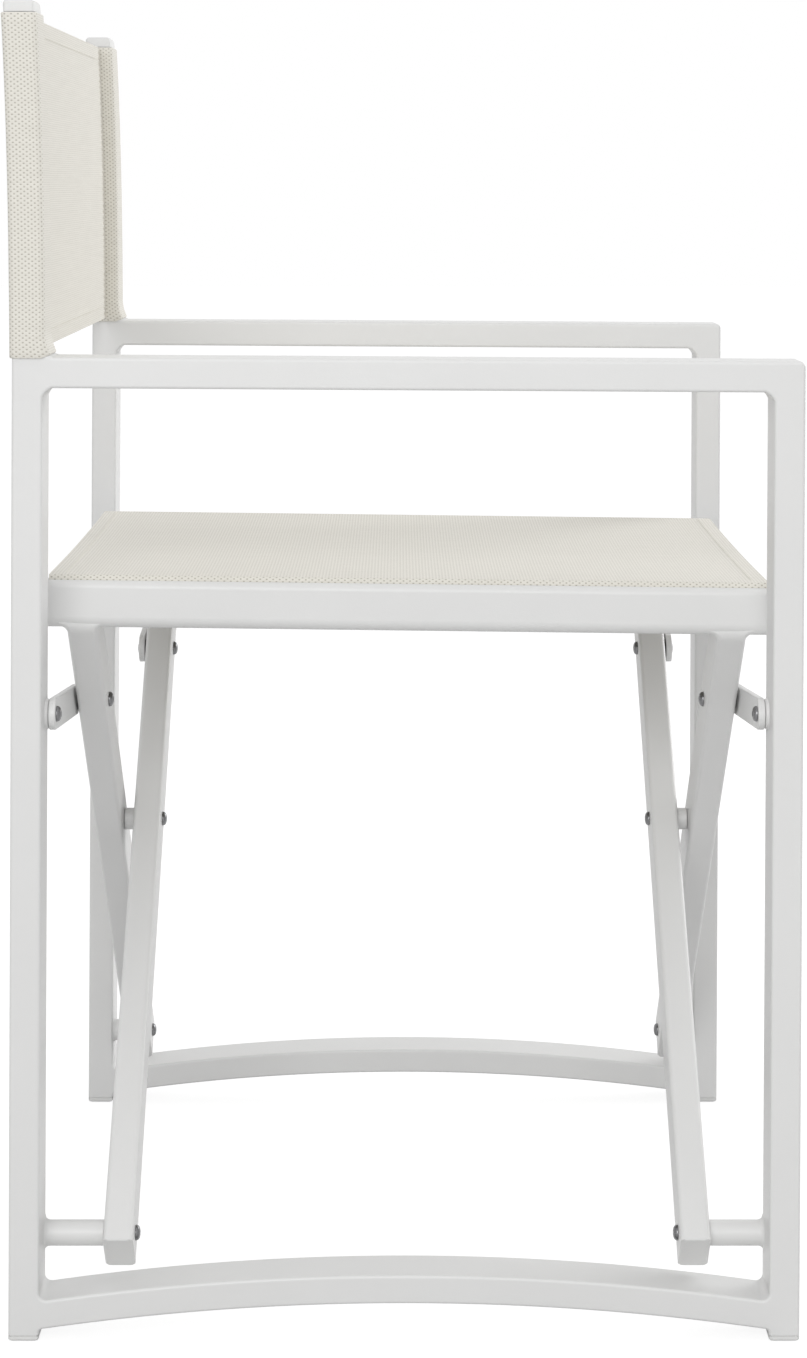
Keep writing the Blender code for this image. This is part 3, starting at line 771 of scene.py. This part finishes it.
def make_collar(name, body, radius, edge, material):
    """A washer or a spacer: a ring with broken edges."""
    low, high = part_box(name)
    y, z = middle(name).y, middle(name).z
    profile = (
        (low.x, BORE + edge), (low.x, radius - edge), (low.x + edge, radius), (high.x - edge, radius),
        (high.x, radius - edge), (high.x, BORE + edge), (high.x - edge, BORE), (low.x + edge, BORE),
    )
    dress(add_piece(name + "_ring", turned_ring(y, z, profile), material), body, name)


def make_fasteners():
    for side in SIDES:
        legs = RAIL_PAIR[side] + "_leg_frame"
        for end_name, end in ENDS.items():
            stem = f"{side}_{end_name}"
            make_bolt(stem + "_foot_bolt", side + "_side_frame", end)
            make_bolt(stem + "_link_bolt", side + "_links", end)
            make_bolt(stem + "_leg_bolt", legs, end)
            make_collar(stem + "_washer", legs, WASHER_RADIUS, WASHER_EDGE, STEEL)
    for end_name, end in ENDS.items():
        make_bolt(end_name + "_centre_bolt", "outer_leg_frame", end)
        make_collar(end_name + "_centre_spacer", "outer_leg_frame", SPACER_RADIUS, SPACER_EDGE, COAT)


def make_links(side):
    """Flat bars with round ends and rolled edges, with a rivet's low head at the leg end."""
    for end_name, end in ENDS.items():
        name = f"{side}_{end_name}_link"
        low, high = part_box(name)
        post_end = middle(f"{side}_{end_name}_link_bolt").yz
        leg_end = middle(f"{side}_{end_name}_leg_bolt").yz
        along = leg_end - post_end
        heading = atan2(along.y, along.x) * 180 / pi
        outline = arc(*leg_end, LINK_HALF, heading - 90, heading + 90, LINK_END_STEPS)
        outline += arc(*post_end, LINK_HALF, heading + 90, heading + 270, LINK_END_STEPS)
        hole = arc(*post_end, BORE, 0, 360 - 360 / HOLE_SIDES, HOLE_SIDES - 1)
        bm = plate(outline, [hole], low.x, high.x, LINK_EDGE, lambda u, v, w: (w, u, v))
        piece = weigh_normals(add_piece(name + "_bar", bm, COAT))
        dress(piece, side + "_links", name)
        face = high.x if end > 0 else low.x
        profile = [(face, RIVET_RADIUS)]
        for step in range(EDGE_STEPS + 1):
            angle = radians(RIVET_START + (90 - RIVET_START) * step / EDGE_STEPS)
            radius = max(RIVET_RADIUS * cos(angle), RIVET_CROWN)
            profile.append((face + end * RIVET_HEIGHT * sin(angle), radius))
        rivet = add_piece(name + "_rivet", turned(*leg_end, profile), STEEL)
        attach(rivet, side + "_links")


# Seat rails and legs

def rail_section(taper=0.0):
    """Section of a seat rail: u outwards from its middle, v up from its middle."""
    half_u = RAIL_WIDTH / 2
    half_v = RAIL_HEIGHT / 2
    top = RAIL_TOP_RADIUS
    under = RAIL_UNDER_RADIUS
    groove = GROOVE_WIDTH / 2
    points = [(groove, half_v - GROOVE_LIP), (groove + GROOVE_LIP, half_v)]
    points += reversed(arc(half_u - top, half_v - top, top, 0, 90, CORNER_STEPS))
    points += reversed(arc(half_u - under, under - half_v, under, 270, 360, CORNER_STEPS))
    points += reversed(arc(under - half_u, under - half_v, under, 180, 270, CORNER_STEPS))
    points += reversed(arc(top - half_u, half_v - top, top, 90, 180, CORNER_STEPS))
    points += [(-groove - GROOVE_LIP, half_v), (-groove, half_v - GROOVE_LIP)]
    points += [(-groove, half_v - GROOVE_DEPTH), (groove, half_v - GROOVE_DEPTH)]
    lip = groove + GROOVE_LIP
    return [(min(u, lip) + max(u - lip, 0.0) * (1 - taper), v) for u, v in points]


def rail_z(x):
    """Middle height of the rails, which fall a little towards the front."""
    centre = (RAIL_LOW.x + RAIL_HIGH.x) / 2
    return RAIL_Z - RAIL_DROP * (x - centre) / (RAIL_HIGH.x - RAIL_LOW.x)


def rail_ring(sign, x, section):
    return [(x, sign * (RAIL_Y + u), rail_z(x) + v) for u, v in section]


def make_rail(side, sign):
    """A grooved extrusion whose outer corners are rounded off in plan at both ends."""
    name = side + "_seat_rail"
    rings = []
    angles = [90 * step / EDGE_STEPS for step in range(EDGE_STEPS + 1)]
    for origin, inwards, order in ((RAIL_LOW.x, 1, angles), (RAIL_HIGH.x, -1, angles[::-1])):
        for angle in order:
            x = origin + inwards * RAIL_END_LENGTH * (1 - cos(radians(angle)))
            taper = RAIL_END_TAPER * (1 - sin(radians(angle)))
            rings.append(rail_ring(sign, x, rail_section(taper=taper)))
    piece = weigh_normals(add_piece(name + "_extrusion", loft(rings), COAT))
    dress(piece, RAIL_PAIR[side] + "_leg_frame", name)


def make_keder(side):
    """The beaded edge rod in the bottom of the groove."""
    name = side + "_keder_rod"
    low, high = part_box(name)
    y = middle(name).y
    offset = middle(name).z - RAIL_Z
    inner_low = low.x + KEDER_ROUND
    inner_high = high.x - KEDER_ROUND
    end_radius = KEDER_RADIUS - KEDER_ROUND
    rings = []
    for x, radius in (
        (low.x, end_radius), (inner_low, KEDER_RADIUS), (inner_high, KEDER_RADIUS), (high.x, end_radius),
    ):
        rings.append(circle(x, y, rail_z(x) + offset, radius, KEDER_SIDES))
    dress(add_piece(name + "_bead", loft(rings), KEDER_PLASTIC), RAIL_PAIR[side] + "_leg_frame", name)


def inside_rail(u, v):
    """Whether a point is inside a rail's section: u outwards and v up from its middle."""
    radius = RAIL_UNDER_RADIUS
    past_u = abs(u) - (RAIL_WIDTH / 2 - radius)
    past_v = -v - (RAIL_HEIGHT / 2 - radius)
    if past_u > 0 and past_v > 0:
        return hypot(past_u, past_v) < radius
    return past_u < radius and past_v < radius and v < RAIL_HEIGHT / 2


def make_leg(pair, end_name):
    """A square-cut tube leg that flares into the seat rail that it carries."""
    name = f"{pair}_{end_name}_leg"
    foot_side = "right" if pair == "inner" else "left"
    foot = SIDES[foot_side]
    pivot = middle(f"{foot_side}_{end_name}_foot_bolt")
    low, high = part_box(name)
    x = (low.x + high.x) / 2
    run = Vector((0, -foot * RAIL_Y - pivot.y, rail_z(x) - pivot.z))
    length = run.length
    along = run / length
    across = Vector((0, -along.z * -foot, abs(along.y)))
    section = rounded_rectangle(LEG_FACE / 2, LEG_DEPTH / 2, LEG_EDGE)
    start = Vector((x, pivot.y, pivot.z))
    outermost = RAIL_Y + RAIL_WIDTH / 2 - LEG_WELD_INSET

    def on_line(distance, v):
        """A point of the leg at v off its axis, kept behind the rail's outer face."""
        point = start + along * distance + across * v
        excess = -foot * point.y - outermost
        if excess > -LEG_BEND:
            excess = min(excess, LEG_BEND)
            point.y = -foot * (outermost - (LEG_BEND - excess) ** 2 / (4 * LEG_BEND))
        return point

    def reach(v):
        """Distance along the leg at which its line at v meets the rail."""
        for step in range(int(2 * LEG_SEARCH / LEG_SEARCH_STEP)):
            distance = length - LEG_SEARCH + step * LEG_SEARCH_STEP
            point = on_line(distance, v)
            height = point.z - rail_z(x)
            if inside_rail(-foot * point.y - RAIL_Y, height) or height > RAIL_HEIGHT / 2 - LEG_TOP_MARGIN:
                break
        return distance

    def ring(distances, shrink=0.0):
        """A ring with its own distance for each point, flared in X where it nears the rail."""
        points = []
        for (u, v), distance, stop in zip(section, distances, stops):
            point = on_line(distance, v * (1 - 2 * shrink / LEG_DEPTH))
            below = min(max((stop - distance) * along.z / LEG_FILLET, 0.0), 1.0)
            flare = LEG_FILLET * (1 - sqrt(1 - (1 - below) ** 2))
            point.x += u * (1 - 2 * shrink / LEG_FACE) + (flare if u > 0 else -flare)
            points.append(point)
        return points

    stops = [reach(v) for u, v in section]
    first = min(stops) - LEG_FILLET / along.z
    rings = [ring([-LEG_FOOT_OVERHANG] * len(section), LEG_FOOT_EDGE)]
    rings.append(ring([LEG_FOOT_EDGE - LEG_FOOT_OVERHANG] * len(section)))
    for step in range(LEG_RINGS + 1):
        rings.append(ring([first + (stop + LEG_EMBED - first) * step / LEG_RINGS for stop in stops]))
    piece = add_piece(name + "_tube", loft(rings), COAT)
    dress(weigh_normals(piece), pair + "_leg_frame", name)


# Fabric tools

def sheet_mesh(grid, uv, thickness):
    """A closed thin solid on a grid of points. thickness gives the local one from (row, column)."""
    rows = len(grid)
    columns = len(grid[0])
    bm = bmesh.new()
    flat = bm.loops.layers.uv.new("flat")
    sides = ([], [])
    places = {}
    for i in range(rows):
        lines = ([], [])
        for j in range(columns):
            down = grid[min(i + 1, rows - 1)][j] - grid[max(i - 1, 0)][j]
            right = grid[i][min(j + 1, columns - 1)] - grid[i][max(j - 1, 0)]
            normal = down.cross(right).normalized()
            for line, sign in zip(lines, (1, -1)):
                vert = bm.verts.new(grid[i][j] + normal * sign * thickness(i, j) / 2)
                places[vert] = uv[i][j]
                line.append(vert)
        sides[0].append(lines[0])
        sides[1].append(lines[1])
    for side in sides:
        for i in range(rows - 1):
            for j in range(columns - 1):
                bm.faces.new((side[i][j], side[i][j + 1], side[i + 1][j + 1], side[i + 1][j]))
    rim = [(0, j) for j in range(columns)] + [(i, columns - 1) for i in range(1, rows)]
    rim += [(rows - 1, j) for j in range(columns - 2, -1, -1)] + [(i, 0) for i in range(rows - 2, 0, -1)]
    for (i, j), (k, m) in zip(rim, rim[1:] + rim[:1]):
        bm.faces.new((sides[0][i][j], sides[0][k][m], sides[1][k][m], sides[1][i][j]))
    for face in bm.faces:
        for loop in face.loops:
            loop[flat].uv = places[loop.vert]
    return bm


def banded(low, high, bands, steps):
    """Stations from low to high, closer together in the bands at both ends."""
    first = low + bands[-1]
    last = high - bands[-1]
    stations = [low + band for band in bands]
    for step in range(1, steps):
        stations.append(first + (last - first) * step / steps)
    return stations + [high - band for band in reversed(bands)]


def path_lengths(path):
    total = 0.0
    lengths = [0.0]
    for before, after in zip(path, path[1:]):
        total += (Vector(after) - Vector(before)).length
        lengths.append(total)
    return lengths


def at_length(path, lengths, distance):
    """Point and direction on a path at a distance from its start."""
    for index in range(1, len(path)):
        if lengths[index] >= distance or index == len(path) - 1:
            run = Vector(path[index]) - Vector(path[index - 1])
            share = (distance - lengths[index - 1]) / (lengths[index] - lengths[index - 1])
            return Vector(path[index - 1]) + run * share, run.normalized()


def stitch_row(bm, path, normal):
    """Threads that come up through the cloth and lie along it, in a row on a path."""
    lengths = path_lengths(path)
    pitch = STITCH_LENGTH + STITCH_GAP
    count = int(lengths[-1] / pitch)
    margin = (lengths[-1] - count * pitch + STITCH_GAP) / 2
    for index in range(count):
        rings = []
        for share, rise, thin in STITCH_PROFILE:
            point, direction = at_length(path, lengths, margin + index * pitch + share * STITCH_LENGTH)
            up = Vector(normal)
            side = direction.cross(up).normalized()
            centre = point + up * rise * STITCH_RADIUS
            ring = []
            for step in range(STITCH_SIDES):
                angle = 2 * pi * step / STITCH_SIDES
                ring.append(centre + (up * sin(angle) + side * cos(angle)) * STITCH_RADIUS * thin)
            rings.append(ring)
        loops = skin(bm, rings)
        bm.faces.new(loops[0])
        bm.faces.new(loops[-1])


def hem_rise(distance, rise=HEM_RISE):
    """Extra thickness of the turned-in hem at a distance from the cloth's edge."""
    share = min(max((HEM_WIDTH - distance) / HEM_STEP, 0.0), 1.0)
    return 2 * rise * share


# Seat and back slings

def seat_path():
    """The sling's middle surface as (y, height above the rails' middle), from groove to groove."""
    half = SEAT_THICKNESS / 2
    above = RAIL_HEIGHT / 2 + half + SEAT_LIFT
    lip = RAIL_WIDTH / 2 - RAIL_TOP_RADIUS
    right = []
    groove_end = RAIL_HEIGHT / 2 - GROOVE_DEPTH + 2 * KEDER_RADIUS + KEDER_COVER
    right.append((-RAIL_Y, groove_end))
    right.append((-RAIL_Y, (groove_end + above - GROOVE_BEND) / 2))
    for step in range(EDGE_STEPS + 1):
        angle = pi / 2 * step / EDGE_STEPS
        right.append((-RAIL_Y + GROOVE_BEND * (1 - cos(angle)), above - GROOVE_BEND * (1 - sin(angle))))
    span = RAIL_Y - lip
    crossing = []
    for step in range(SEAT_CROSS_STEPS + 1):
        share = 2 * step / SEAT_CROSS_STEPS - 1
        crossing.append((share * span, above - SEAT_SAG * (1 - share * share)))
    left = [(-y, v) for y, v in reversed(right)]
    return right + crossing + left


def make_seat():
    path = seat_path()
    lengths = path_lengths(path)
    grid = []
    uv = []
    for (y, v), length in zip(path, lengths):
        edge = max(SEAT_CORNER - min(length, lengths[-1] - length), 0.0)
        trim = SEAT_CORNER - sqrt(SEAT_CORNER ** 2 - edge ** 2)
        stations = banded(SEAT_LOW.x + trim, SEAT_HIGH.x - trim, HEM_BANDS, SEAT_MIDDLE_STEPS)
        grid.append([Vector((x, y, rail_z(x) + v)) for x in stations])
        uv.append([(x, length) for x in stations])
    count = len(grid[0])

    def thickness(i, j):
        nearest = min(j, count - 1 - j)
        distance = HEM_BANDS[nearest] if nearest < len(HEM_BANDS) else HEM_WIDTH
        in_groove = abs(grid[i][j].y) > RAIL_Y - GROOVE_WIDTH
        return SEAT_THICKNESS + (0.0 if in_groove else hem_rise(distance))

    sling = add_piece("seat_sling_cloth", sheet_mesh(grid, uv, thickness), MESH, sharp=60.0)
    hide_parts("seat_sling")

    threads = bmesh.new()
    rise = SEAT_THICKNESS / 2 + HEM_RISE
    on_top = [(y, v) for y, v in path if abs(y) < RAIL_Y - GROOVE_WIDTH]
    for x in (SEAT_LOW.x + STITCH_INSET, SEAT_HIGH.x - STITCH_INSET):
        for up in (1, -1):
            line = [Vector((x, y, rail_z(x) + v + up * rise)) for y, v in on_top]
            stitch_row(threads, line, (0, 0, up))
    sewing = add_piece("seat_hem_stitching", threads, THREAD)

    for piece in (sling, sewing):
        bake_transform(piece)


def sleeve_ring(x, y, z, grow, share):
    """A ring round the post.

    Towards its low end, share 1, it spreads over the arm's weld and hangs lower beside it.
    """
    section = rounded_rectangle(TUBE_FACE / 2 + grow, TUBE_DEPTH / 2 + grow, SLEEVE_RADIUS)
    ring = []
    for u, v in section:
        forward = SLEEVE_FLARE * share ** 2 * max(u, 0) / (TUBE_FACE / 2)
        beside = min(max((TUBE_FACE / 2 + grow - u) / SLEEVE_RADIUS, 0.0), 1.0)
        ring.append(Vector((x + u + forward, y + v, z - SLEEVE_DROP * share * beside)))
    return ring


def make_sleeve(side):
    """A sleeve of the mesh that slips over the back post."""
    name = side + "_back_sleeve"
    y = middle(name).y
    low, high = SLEEVE_LOW.z, SLEEVE_HIGH.z
    heights = banded(low, high, SLEEVE_BANDS, SLEEVE_STEPS)
    bm = bmesh.new()
    flat = bm.loops.layers.uv.new("flat")
    outer = []
    inner = []
    for z in heights:
        share = max(1 - (z - low) / SLEEVE_FLARE_HEIGHT, 0.0)
        edge = SLEEVE_ROLL if z in (low, high) else 0.0
        outer.append(sleeve_ring(post_x(z), y, z, SLEEVE_GAP + SLEEVE_WALL - edge, share))
        inner.append(sleeve_ring(post_x(z), y, z, SLEEVE_GAP + edge, share))
    middle_ring = outer[len(outer) // 2]
    girth = path_lengths(middle_ring + middle_ring[:1])
    loops = skin(bm, outer + inner[::-1], closed=True)
    place = {}
    for ring in loops:
        for vert, length in zip(ring, girth):
            place[vert] = (length, vert.co.z)
    for face in bm.faces:
        closes = max(place[vert][0] for vert in face.verts) == girth[-2]
        for loop in face.loops:
            u, v = place[loop.vert]
            if closes and u == 0.0:
                u = girth[-1]
            loop[flat].uv = (u, v)
    sleeve = add_piece(name + "_cloth", bm, MESH, sharp=60.0)
    dress(sleeve, side + "_side_frame", name)


def make_panel():
    """The back panel between the sleeves, with hems along its top and bottom and a seam at each sleeve."""
    low = SLEEVE_LOW.z + PANEL_CLEAR_LOW
    high = SLEEVE_HIGH.z - PANEL_CLEAR_HIGH
    left, right = PANEL_LOW.y, PANEL_HIGH.y
    heights = banded(low, high, HEM_BANDS, SLEEVE_STEPS)
    widths = banded(left, right, HEM_BANDS, PANEL_STEPS)
    grid = [[Vector((post_x(z), y, z)) for y in widths] for z in heights]
    uv = [[(y, z) for y in widths] for z in heights]

    def thickness(i, j):
        from_edge = min(heights[i] - low, high - heights[i])
        from_seam = min(widths[j] - left, right - widths[j])
        return PANEL_THICKNESS + hem_rise(min(from_edge, from_seam), PANEL_HEM_RISE)

    panel = add_piece("back_panel_cloth", sheet_mesh(grid, uv, thickness), MESH, sharp=60.0)
    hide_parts("back_panel")

    threads = bmesh.new()
    rise = PANEL_THICKNESS / 2 + PANEL_HEM_RISE
    for face in (1, -1):
        for z in (low + STITCH_INSET, high - STITCH_INSET):
            ends = (left + HEM_WIDTH, right - HEM_WIDTH)
            line = [Vector((post_x(z) + face * rise, y, z)) for y in ends]
            stitch_row(threads, line, (face, 0, 0))
        insets = (STITCH_INSET, STITCH_INSET / 2)
        for y in [left + inset_y for inset_y in insets] + [right - inset_y for inset_y in insets]:
            line = [Vector((post_x(z) + face * rise, y, z)) for z in heights[1:-1]]
            stitch_row(threads, line, (face, 0, 0))
    sewing = add_piece("back_panel_stitching", threads, THREAD)
    for piece in (panel, sewing):
        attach(piece, "right_side_frame")
        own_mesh(piece)


def make_chair():
    for side, sign in SIDES.items():
        make_side_frame(side)
        make_glides(side)
        make_cap(side)
        make_rods(side)
        make_links(side)
        make_rail(side, sign)
        make_keder(side)
        make_sleeve(side)
    for pair in ("inner", "outer"):
        for end_name in ENDS:
            make_leg(pair, end_name)
    make_fasteners()
    make_seat()
    make_panel()


# Camera, floor and light

def make_camera():
    data = bpy.data.cameras.new("photo_camera")
    data.sensor_width = SENSOR
    data.lens = PHOTO_FOCAL / PHOTO_SIZE[1] * SENSOR
    data.shift_x = (PHOTO_SIZE[0] / 2 - PHOTO_AXIS_X) / PHOTO_SIZE[1]
    data.shift_y = CAMERA_SHIFT_Y
    camera = bpy.data.objects.new("photo_camera", data)
    camera.location = CAMERA_PLACE
    camera.rotation_euler = (pi / 2 - CAMERA_PITCH, 0, 0)
    bpy.context.scene.collection.objects.link(camera)
    bpy.context.scene.camera = camera


def seen_directly(tree):
    """1 for what the camera sees straight, in a gloss or through a clear surface."""
    rays = add_node(tree, "ShaderNodeLightPath")
    seen = math(tree, "MAXIMUM", rays.outputs["Is Camera Ray"], rays.outputs["Is Glossy Ray"])
    return math(tree, "MAXIMUM", seen, rays.outputs["Is Transmission Ray"])


def make_floor():
    """A white floor that keeps a faint shadow of the chair."""
    mesh = bpy.data.meshes.new("floor")
    half = FLOOR_SIZE / 2
    corners = [(-half, -half, 0), (half, -half, 0), (half, half, 0), (-half, half, 0)]
    mesh.from_pydata(corners, [], [(0, 1, 2, 3)])
    floor = bpy.data.objects.new("floor", mesh)
    floor.location.z = -FLOOR_DROP
    bpy.context.scene.collection.objects.link(floor)
    material, tree, shader = new_material("pale_floor")
    shader.inputs["Base Color"].default_value = (FLOOR_TONE, FLOOR_TONE, FLOOR_TONE, 1.0)
    shader.inputs["Roughness"].default_value = FLOOR_ROUGHNESS
    tone = (FLOOR_SEEN_TONE, FLOOR_SEEN_TONE, FLOOR_SEEN_TONE, 1.0)
    shadowed = add_node(tree, "ShaderNodeBsdfDiffuse", Color=tone)
    white = add_node(tree, "ShaderNodeEmission", Strength=FLOOR_WHITE)
    seen = add_node(tree, "ShaderNodeAddShader")
    tree.links.new(shadowed.outputs[0], seen.inputs[0])
    tree.links.new(white.outputs[0], seen.inputs[1])
    mixed = add_node(tree, "ShaderNodeMixShader")
    tree.links.new(seen_directly(tree), mixed.inputs[0])
    tree.links.new(shader.outputs[0], mixed.inputs[1])
    tree.links.new(seen.outputs[0], mixed.inputs[2])
    tree.links.new(mixed.outputs[0], tree.nodes["Material Output"].inputs["Surface"])
    mesh.materials.append(material)


def make_world():
    world = bpy.data.worlds.new("white_studio")
    world.use_nodes = True
    tree = world.node_tree
    background = tree.nodes["Background"]
    background.inputs["Color"].default_value = (1.0, 1.0, 1.0, 1.0)
    strength = spread(tree, seen_directly(tree), 0.0, 1.0, WORLD_LIGHT, 1.0)
    tree.links.new(strength, background.inputs["Strength"])
    bpy.context.scene.world = world


def make_light(name, place, target, size, power):
    data = bpy.data.lights.new(name, "AREA")
    data.shape = "DISK"
    data.size = size
    data.energy = power
    light = bpy.data.objects.new(name, data)
    light.location = place
    light.rotation_euler = (Vector(target) - Vector(place)).to_track_quat("-Z", "Y").to_euler()
    bpy.context.scene.collection.objects.link(light)


def make_stage():
    make_camera()
    make_floor()
    make_world()
    for name, lamp in LAMPS.items():
        make_light(name, **lamp)


bpy.context.scene.view_settings.view_transform = "Standard"
make_chair()
make_stage()

bpy.context.view_layer.update()
